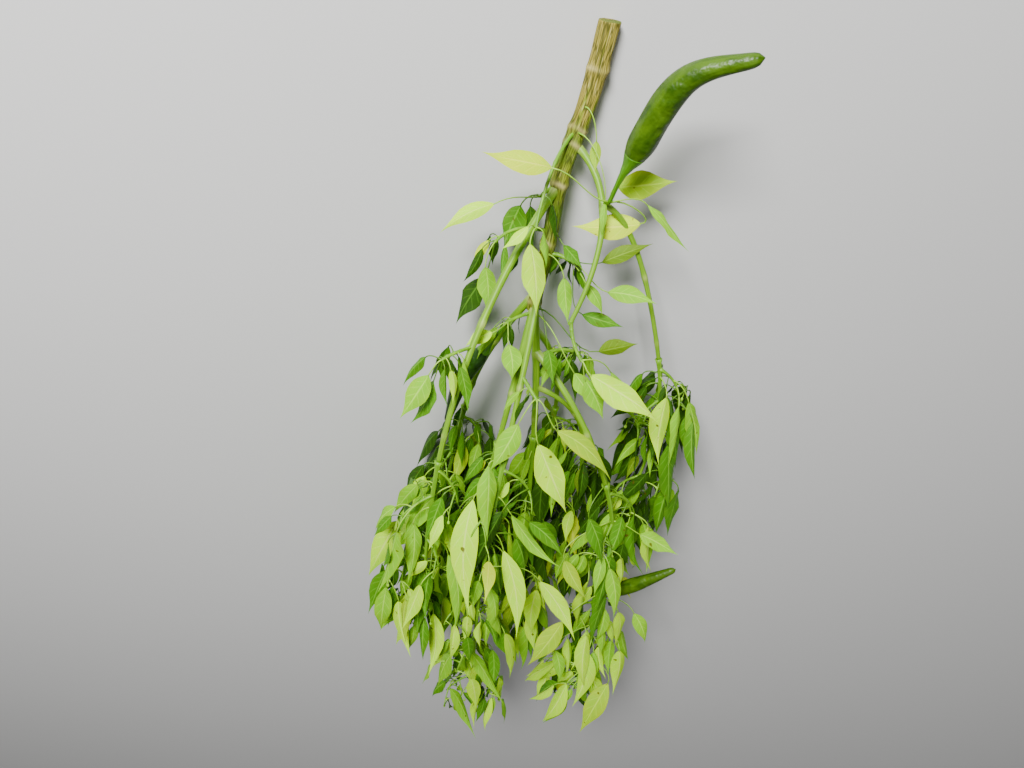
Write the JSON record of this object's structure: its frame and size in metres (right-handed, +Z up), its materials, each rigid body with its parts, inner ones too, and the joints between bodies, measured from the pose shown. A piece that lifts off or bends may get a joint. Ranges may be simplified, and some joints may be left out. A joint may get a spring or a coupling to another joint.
{
  "type": "chilli pepper plant",
  "caption": "Cut chilli pepper plant lying on its side: a tapering stem forks into slender boughs with drooping pointed leaves and long green fruits.",
  "frame": {"origin": "on the ground below the middle of the plant's bounding box, as it lies", "axes": "+Y from the leaf tips to the cut end of the stem, +Z up from the ground, +X to the plant's right seen from above with the cut end away from the viewer"},
  "size_m": [0.4018, 0.9406, 0.2644],
  "materials": {
    "bark": "matte, ridged along the stem",
    "green_stem": "smooth satin",
    "foliage": "soft matte leaf"
  },
  "bodies": {
    "root": {"main_stem": "bark", "bough_leader": "green_stem", "bough_left_inner": "green_stem", "bough_left_back": "green_stem", "bough_left_front": "green_stem", "bough_centre_front": "green_stem", "bough_right_upper": "green_stem", "bough_right_back": "green_stem", "bough_right_low": "green_stem", "bough_right_inner": "green_stem", "bough_back": "green_stem", "leaf_spray_top_right": "foliage", "leaf_spray_left_upper": "foliage", "leaf_spray_centre_upper": "foliage", "leaf_spray_left_middle": "foliage", "leaf_spray_right_middle": "foliage", "leaf_spray_left_low": "foliage", "leaf_spray_left_front": "foliage", "leaf_spray_centre": "foliage", "leaf_spray_right_upper": "foliage", "leaf_spray_right_back": "foliage", "leaf_mass_left_front": "foliage", "leaf_mass_centre_front": "foliage", "leaf_mass_right_front": "foliage", "leaf_mass_centre": "foliage", "leaf_mass_left_inner": "foliage", "leaf_mass_left_back": "foliage", "leaf_mass_back": "foliage", "leaf_mass_right_inner": "foliage", "leaf_mass_right_side": "foliage"}
  },
  "joints": []
}
